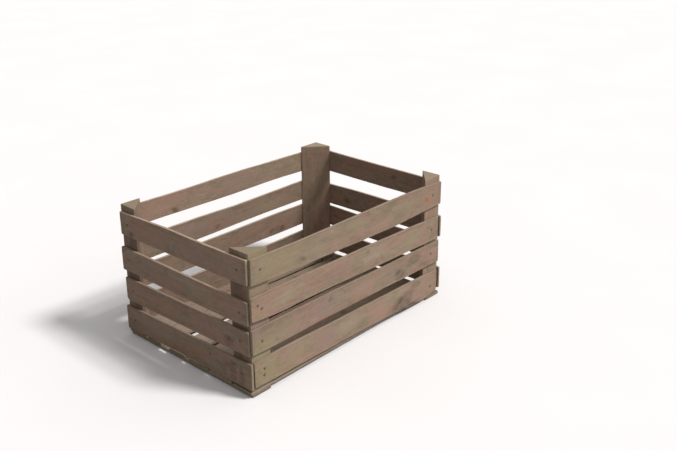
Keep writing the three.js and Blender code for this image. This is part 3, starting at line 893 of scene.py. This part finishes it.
# ------------------------------------------------------------------ weathered wood
class Wood(Tree):
    """Sawn softwood, in millimetres along the lath, across it and deep into it."""

    def __init__(self, name):
        super().__init__(bpy.data.materials.new("wood_" + name))
        self.owner["seed"] = name
        self.rng = seeded("wood", name)
        self.along, self.across, self.deep = self.split(self.attribute("gc"))
        self.edge, self.rim, self.cap = self.split(self.attribute("wr"))
        self.crack = self.attribute("ck", "Fac")
        self.offset = [float(x) for x in self.rng.uniform(-400, 400, 3)]

    def draw(self, low, high):
        return float(self.rng.uniform(low, high))

    def field(self, length, width, shift, across=None, **noise):
        """Noise with bumps of a length along the lath and a width across and into it."""
        x, y, z = self.offset
        place = self.value("ShaderNodeCombineXYZ", {
            0: self.along.times_plus(1 / length, x + shift),
            1: (across or self.across).times_plus(1 / width, y + shift),
            2: self.deep.times_plus(1 / width, z)})
        return self.noise(place, **noise)

    def paint(self, amount, shade):
        self.colour = self.mix(amount, self.colour, shade)

    def strongest(self, masks):
        return reduce(lambda a, b: self.math("MAXIMUM", a, b), masks) if masks else None

    def oval(self, at, height, half_length, half_height):
        """Distance from a point, 1 on an ellipse round it."""
        x = self.math("POWER", (self.along - at) * (1 / half_length), 2.0)
        y = self.math("POWER", (self.across - height) * (1 / half_height), 2.0)
        return self.math("SQRT", x + y)

    def bend_grain(self, knots):
        """Grain lines wander and part round each knot; also the masks of the knots."""
        self.grain = self.field(length=150, width=70, shift=3.1).vary(13.0, self.across)
        cores, rims, halos = [], [], []
        for at, height, radius, strength in knots:
            x, y = self.along - at, self.across - height
            spread = x * x * 0.30 + y * y + radius * radius * 2.0
            self.grain = self.grain - y * self.math("DIVIDE", radius * radius * 1.9, spread)
            ragged = self.field(length=4.6, width=3.4, shift=9.0 + at, detail=3, rough=0.6)
            wobble = (ragged - 0.5) * 1.25
            skew = y + x * self.draw(-0.35, 0.35)
            d = self.math("SQRT", x * x * 0.50 + skew * skew) * (1 / radius) + wobble
            bands = self.math("SINE", d * 13.0).times_plus(0.16, 0.84)
            cores.append(d.ramp(1.10, 0.45) * strength * bands)
            rims.append(d.ramp(1.25, 0.95) * d.ramp(0.45, 0.85) * strength)
            halos.append(d.ramp(2.8, 0.7) * strength)
        self.knot_core, self.knot_rim, self.knot_halo = map(self.strongest, (cores, rims, halos))

    def grow_rings(self, rings):
        """Growth rings; rings is the pith's place across, its depth outside, and the spacing."""
        rings = rings or (self.draw(-55, 55), self.draw(16, 60), self.draw(2.6, 4.2))
        pith_across, pith_out, self.spacing = rings
        x, y = self.grain - pith_across, self.deep + pith_out
        drift = (self.field(length=190, width=260, shift=17, detail=1) - 0.5) * 30.0
        taper = self.along.times_plus(self.draw(-0.02, 0.02), drift)
        self.radius = self.math("SQRT", x * x + y * y) + taper
        phase = self.math("FRACT", self.radius * (1 / self.spacing))
        late = phase.ramp(0.35, 0.88) * phase.ramp(1.0, 0.93)
        uneven = self.noise(self.radius * (1 / (self.spacing * 2.3)), rough=0.6, line=True)
        self.ring = late * uneven.ramp(0.3, 0.7, low=0.25, high=1.0)

    def lay_ground(self, tone):
        """The wood's own colour: blotches, fibres, rings and saw marks."""
        field, grain = self.field, self.grain
        self.fibre = field(length=34, width=0.55, shift=5, across=grain, detail=3, rough=0.6)
        self.streak = field(length=120, width=2.6, shift=21, across=grain, detail=3, rough=0.55)
        broad = field(length=170, width=10, shift=31, across=grain)
        blotch = field(length=46, width=24, shift=41, detail=3, distort=0.7)
        wide_blotch = field(length=95, width=40, shift=53, detail=3, distort=0.4)
        self.mottle = field(length=12, width=7, shift=61, detail=4, rough=0.65, distort=0.5)
        pink = wide_blotch.vary(1.0, 0.5 + 0.16 * tone[1]).ramp(0.42, 0.62)
        self.olive = blotch.ramp(0.50, 0.68)
        self.colour = self.mix(pink * 0.90, TAN, PINK)
        self.paint(self.olive * 0.80, OLIVE)
        warm = field(length=30, width=15, shift=191, detail=3, rough=0.6, distort=0.8)
        self.paint(warm.ramp(0.60, 0.74) * wide_blotch.ramp(0.45, 0.60) * 0.55, WARM)
        self.paint(broad.ramp(0.52, 0.72) * 0.35, GREY)
        patch = field(length=30, width=17, shift=211, detail=4, rough=0.58, distort=1.1)
        self.paint(patch.ramp(0.55, 0.72, high=0.50), PATCH_DARK)
        self.paint(patch.ramp(0.45, 0.28, high=0.50), PATCH_LIGHT)
        light = self.value("ShaderNodeMix", {0: self.ring, 2: EARLY, 3: LATE},
                           data_type="FLOAT", clamp_factor=True)
        light = light * self.streak.vary(0.17) * self.fibre.vary(0.16)
        light = light * self.mottle.vary(0.34) * broad.vary(0.34)
        # marks left by the saw, 3.1 mm apart
        wobble = field(length=30, width=60, shift=71, detail=1) * 9.0
        phase = self.along.times_plus(2 * math.pi / 3.1, 0.0) + (wobble + self.across * 0.05)
        self.saw_marks = self.math("SINE", phase)
        self.saw_area = field(length=70, width=40, shift=83, detail=1).ramp(0.45, 0.65)
        light = light * (self.saw_marks * self.saw_area).times_plus(0.022, 1.0)
        self.colour = self.shaded(self.colour, light * tone[0])

    def dry_and_dirty(self):
        """Thin dark drying checks along the grain, and dirt specks."""
        field = self.field
        checks = field(length=60, width=0.85, shift=97, across=self.grain, detail=1)
        where = field(length=90, width=14, shift=103, detail=1)
        self.checks = checks.ramp(0.70, 0.76) * where.ramp(0.50, 0.62)
        self.paint(self.checks * 0.55, DARK)
        specks = field(length=2.4, width=1.7, shift=113, detail=1)
        where = field(length=40, width=24, shift=127, detail=1)
        self.paint(specks.ramp(0.74, 0.80) * where.ramp(0.48, 0.62) * 0.45, DARK)

    def stain(self, stains, tints):
        for *place, strength, slant, shade in stains:
            d = self.oval(*place)
            curl = self.field(length=9, width=5, shift=131, across=self.grain,
                              detail=4, rough=0.65, distort=1.6)
            mask = curl.vary(0.9, d).ramp(1.15, 0.45) * strength
            slanted = self.along.times_plus(slant, self.grain)
            lines = self.field(length=17, width=4.4, shift=139, across=slanted,
                               detail=3, rough=0.55, distort=1.1)
            self.paint(mask * lines.ramp(0.38, 0.66).times_plus(0.66, 0.34), shade)
        for *place, strength, shade in tints:
            d = self.oval(*place)
            ragged = self.field(length=22, width=13, shift=199, detail=3, rough=0.55, distort=0.6)
            self.paint(ragged.vary(1.2, d).ramp(1.25, 0.15) * strength, shade)

    def darken_knots_and_ends(self, half_length):
        if self.knot_core:
            self.paint(self.knot_halo * 0.34, KNOT_HALO)
            self.paint(self.knot_core * 0.72, KNOT_CORE)
            self.paint(self.knot_rim * 0.42, KNOT_RIM)
        from_end = half_length - self.math("ABSOLUTE", self.along)
        patchy = self.field(length=14, width=9, shift=149, detail=3, rough=0.6).ramp(0.35, 0.65)
        self.paint(from_end.ramp(26.0, 2.0) * patchy * 0.30, GRIME)

    def rust_round_nails(self, nails, mark, runs_down):
        """Rust round the nails on the outer face, running a little way down if wanted."""
        presses = []
        for at, height in nails:
            x, y = self.along - at, self.across - height
            d = self.math("SQRT", x * x + y * y)
            jag = (self.field(length=2.2, width=2.2, shift=151) - 0.5) * 3.0
            face = self.deep.ramp(2.5, 1.5)
            self.paint((d + jag).ramp(4.4, 2.0) * face * (0.36 * mark), NAIL_STAIN)
            if runs_down:
                narrow = (self.math("ABSOLUTE", x) + jag * 0.35).ramp(2.2, 0.3)
                run = narrow * (y.ramp(-15.0, -2.0) * y.ramp(1.0, -1.0))
                self.paint(run * face * (0.24 * mark), NAIL_RUN)
            presses.append(d.ramp(4.2, 2.4) * face)
        self.nail_press = self.strongest(presses)

    def bare_edges(self, brightness, rim_tone):
        """Narrow edges painted paler, partly as a painted highlight; end grain, rubbed arrises and
        painted shade in the splits.
        """
        field = self.field
        rim_grain = field(length=28, width=0.9, shift=163, detail=3, rough=0.6)
        rim_wood_and_highlight = self.mix(rim_grain.ramp(0.35, 0.65), scaled(RIM_AND_HIGHLIGHT, 0.84 * rim_tone),
                              scaled(RIM_AND_HIGHLIGHT, 1.10 * rim_tone))
        # narrow edge faces painted paler: partly sawn wood, partly a painted highlight where the
        # edges catch the light
        self.paint(self.rim * 0.70, rim_wood_and_highlight)
        end_ring = self.math("FRACT", self.radius * (1 / (self.spacing * 0.55)))
        self.end_noise = field(length=1.5, width=1.1, shift=173, detail=3, rough=0.6)
        end_colour = self.mix(end_ring.ramp(0.55, 0.95), scaled(END_LIGHT, brightness),
                              scaled(END_DARK, brightness))
        self.paint(self.cap, self.shaded(end_colour, self.end_noise.vary(0.5)))
        rub = field(length=22, width=5, shift=181, detail=3, rough=0.6).ramp(0.44, 0.66)
        self.paint(self.edge * rub * 0.55, scaled(PALE, 0.80 * rim_tone))
        self.paint(self.edge * (1.0 - rub) * 0.22, ARRIS_DIRT)
        # painted shade: the split grooves are made near black inside
        self.paint(self.crack.ramp(0.05, 0.5, high=0.88), SPLIT_SHADE)

    def surface(self):
        """Roughness and relief (millimetres), each layer added to the ones before."""
        rough_layers = [(self.ring, -0.05), (self.olive, -0.06), (self.knot_core, -0.14),
                        (self.cap, 0.10)]
        relief_layers = [
            (self.fibre, 0.17), (self.ring, 0.07), (self.saw_marks * self.saw_area, 0.018),
            (self.checks, -0.30), (self.mottle, 0.12), (self.end_noise * self.cap, 0.25),
            (self.knot_rim, -0.22), (self.nail_press, -0.30)]

        def stack(base, layers):
            for layer, amount in layers:
                if layer:
                    base = layer.times_plus(amount, base)
            return base

        rough = stack(self.streak.vary(0.22, 0.80), rough_layers)
        rough = self.math("MINIMUM", self.math("MAXIMUM", rough, 0.45), 0.96)
        return self.finish(self.colour, rough, stack(self.streak * 0.32, relief_layers))


def wood(name, half_length, knots, tints, stains=(), nails=(), rings=None,
         runs_down=True, nail_mark=1.0, rim_tone=1.0):
    tone = TONES[name]
    material = Wood(name)
    material.bend_grain(knots)
    material.grow_rings(rings)
    material.lay_ground(tone)
    material.dry_and_dirty()
    material.stain(stains, tints)
    material.darken_knots_and_ends(half_length)
    material.rust_round_nails(nails, nail_mark, runs_down)
    material.bare_edges(tone[0], rim_tone)
    return material.surface()


def nail_material():
    """Wire nails gone dull: dark scaled steel with rust in patches and a few rubbed spots."""
    scale_dark, rust_brown = (0.105, 0.080, 0.062), (0.125, 0.066, 0.038)
    pit_dark, rubbed = (0.065, 0.040, 0.027), (0.20, 0.175, 0.155)
    tree = Tree(bpy.data.materials.new("nail_steel_rusty"))
    place = tree.attribute("gc")
    big = tree.noise(place, scale=0.42, detail=3, rough=0.6)
    fine = tree.noise(place, scale=2.2, detail=3, rough=0.65)
    rust = fine.vary(0.5, big).ramp(0.40, 0.58)
    colour = tree.mix(rust, scale_dark, rust_brown)
    colour = tree.mix(fine.ramp(0.50, 0.75, high=0.5), colour, pit_dark)
    rub = tree.noise(place, scale=0.8).ramp(0.60, 0.72)
    colour = tree.mix(rub * 0.5, colour, rubbed)
    return tree.finish(colour, rough=rust.times_plus(0.22, 0.60),
                       height=fine.times_plus(0.12, big * 0.10),
                       metallic=rust.times_plus(-0.45, 0.50), specular=0.4)


# ------------------------------------------------------------------ build the pieces
def middle_of(low, high):
    """The mean place across a lath."""
    return float(np.mean([p[1] for p in high]) + np.mean([p[1] for p in low])) / 2


def add_lath(name, place, low, high, thick, slot, corners, nails=(),
             base_radius=0.9, bend=0.5, **looks):
    """A lath with its own wood; the material measures across from the lath's middle."""
    middle = middle_of(low, high)

    def centred(rows):
        return [(a, b - middle, *rest) for a, b, *rest in rows]

    knots = KNOTS.get(name, [])
    material = wood(name, (high[-1][0] - high[0][0]) / 2, centred(knots),
                    centred(TINTS.get(name, [])), stains=centred(STAINS.get(name, [])),
                    nails=centred(nails), **looks)
    lath(name, place, low, high, thick, middle, material, knots, nails,
         CRACKS.get(name, []), WORN_CORNERS.get(name, corners), base_radius, bend)


def build_slats():
    for side, slats in SLATS.items():
        label, place, out, ends, nail_mark, rim_tones = SIDES[side]
        for i, slat in enumerate(slats, 1):
            extra = EXTRA_NAILS.get((side, i), [])
            add_lath(f"{label}_{i}", place, slat["bottom"], slat["top"], SLAT_T, "slat_wood",
                     SLAT_CORNERS, slat["nails"] + extra,
                     nail_mark=nail_mark, rim_tone=rim_tones[i - 1])
            for end, (at, z) in zip(ends, slat["nails"]):
                cad = f"nail_{side}_{i}_{end}"
                nail(cad, place(at, z, 0.0), out, replaced=cad)
            for k, (at, z) in enumerate(extra, 1):
                nail(f"second_nail_{side}_{i}_{k}", place(at, z, 0.0), out)


def build_posts():
    for name, shape in POSTS.items():
        knots = KNOTS.get(name, [])
        rings = (float(seeded(name).uniform(-12, 12)), float(seeded(name, 1).uniform(6, 26)), 3.0)
        # the half length is long enough to keep end grime off the posts
        material = wood(name, 400.0, knots, TINTS.get(name, []), rings=rings)
        post(name, *shape, material, knots)


def build_boards():
    """Bottom boards, each nailed down into the two runners."""
    for i, (x0, x1, left_low, left_high, right_low, right_high) in enumerate(BOARDS, 1):
        name = f"bottom_board_{i}"
        low, high = [(x0, left_low), (x1, right_low)], [(x0, left_high), (x1, right_high)]
        middle = middle_of(low, high)
        nails = [(x, middle + float(seeded(name, x).uniform(-5, 5))) for x in BOARD_NAIL_X.values()]
        add_lath(name, lambda s, v, t: (s, v, DECK_Z - t), low, high, BOARD_T, "floor_wood",
                 BOARD_CORNERS, nails, runs_down=False)
        for end, (x, y) in zip(BOARD_NAIL_X, nails):
            nail(f"board_nail_{i}_{end}", (x, y, DECK_Z), (0, 0, 1), length=BOARD_NAIL_LENGTH)


def build_runners():
    for name, (x0, x1, y0, y1) in RUNNERS.items():
        add_lath(name, lambda s, v, t: (v, s, RUNNER_T - t), [(y0, x0), (y1, x0)],
                 [(y0, x1), (y1, x1)], RUNNER_T, "floor_wood", RUNNER_CORNERS,
                 base_radius=1.1, bend=0.0)


steel = nail_material()
build_slats()
build_posts()
build_boards()
build_runners()


# ------------------------------------------------------------------ floor, light, camera
def build_floor():
    """A pale floor just under the crate, which throws back less light than the camera sees."""
    half, z = 40.0, -0.0003
    bounce, pale_low, pale_high = (0.37, 0.365, 0.36), (0.688, 0.670, 0.667), (0.700, 0.682, 0.679)
    tree = Tree(bpy.data.materials.new("pale_floor"))
    place = tree.value("ShaderNodeNewGeometry", output="Position")
    seen = tree.value("ShaderNodeLightPath", output="Is Camera Ray")
    pale = tree.mix(tree.noise(place, scale=3.0).ramp(0.3, 0.7), pale_low, pale_high)
    material = tree.finish(tree.mix(seen, bounce, pale), rough=0.9,
                           height=tree.noise(place, scale=400.0), distance=0.00002, specular=0.0)
    mesh = bpy.data.meshes.new("floor")
    corners = [(-half, -half, z), (half, -half, z), (half, half, z), (-half, half, z)]
    mesh.from_pydata(corners, [], [(0, 1, 2, 3)])
    mesh.materials.append(material)
    floor = bpy.data.objects.new("floor", mesh)
    bpy.context.scene.collection.objects.link(floor)


def build_world():
    """Soft white light all round; the camera itself sees plain white."""
    even, zenith, side = 0.27, 0.38, 0.95  # even part, more overhead, a glow from front right
    world = bpy.data.worlds.new("studio")
    bpy.context.scene.world = world
    tree = Tree(world)
    x, y, z = tree.split(tree.value("ShaderNodeTexCoord", output="Generated"))
    overhead = tree.math("MAXIMUM", z, 0.0) * zenith
    lean = tree.math("MAXIMUM", x * 0.5 + y * -0.866, 0.0)
    strength = tree.math("MAXIMUM", overhead + lean * lean * side + even, 0.02)
    white = (1.0, 1.0, 1.0)
    ambient = tree.value("ShaderNodeBackground", {0: white, 1: strength})
    backdrop = tree.value("ShaderNodeBackground", {0: white, 1: 1.0})
    seen = tree.value("ShaderNodeLightPath", output="Is Camera Ray")
    shown = tree.value("ShaderNodeMixShader", {0: seen, 1: ambient, 2: backdrop})
    tree.node("ShaderNodeOutputWorld", {0: shown})


def level_axes(back):
    """Level right and matching up directions for something looking against back."""
    right = np.cross([0, 0, 1.0], back)
    right /= np.linalg.norm(right)
    return right, np.cross(back, right)


def put_in_scene(name, data, right, up, back, place):
    ob = bpy.data.objects.new(name, data)
    bpy.context.scene.collection.objects.link(ob)
    ob.matrix_world = Matrix([*zip(right, up, back, place), (0, 0, 0, 1)])
    return ob


def build_key_light():
    to_light = np.array([0.360, -0.705, 1.0])
    to_light /= np.linalg.norm(to_light)
    key = bpy.data.lights.new("key", "SUN")
    key.energy = 3.30
    key.angle = math.radians(12.5)
    key.color = (1.0, 0.995, 0.985)
    put_in_scene("key", key, *level_axes(to_light), to_light, 2 * to_light)


def build_camera():
    azimuth, elevation, roll = -0.8535087353, 0.3391247171, 0.0008769  # radians
    # millimetres from the origin along the camera's own right, up and back
    along_right, along_up, along_back = 145.4233791, 296.06998, 2005.105988
    back = np.array([math.sin(azimuth) * math.cos(elevation),
                     -math.cos(azimuth) * math.cos(elevation), math.sin(elevation)])
    level_right, level_up = level_axes(back)
    right = math.cos(roll) * level_right + math.sin(roll) * level_up
    up = -math.sin(roll) * level_right + math.cos(roll) * level_up
    place = (right * along_right + up * along_up + back * along_back) * MM
    camera = bpy.data.cameras.new("camera")
    camera.sensor_fit = "HORIZONTAL"
    camera.sensor_width = 36.0
    camera.lens = 46.740727917
    camera.shift_x, camera.shift_y = -0.024186664, -0.0637079886
    camera.clip_start, camera.clip_end = 0.05, 100.0
    bpy.context.scene.camera = put_in_scene("camera", camera, right, up, back, place)


build_floor()
build_world()
build_key_light()
build_camera()

view = bpy.context.scene.view_settings
view.view_transform = "Standard"
view.look = "None"
view.exposure = 0.0
view.gamma = 1.0
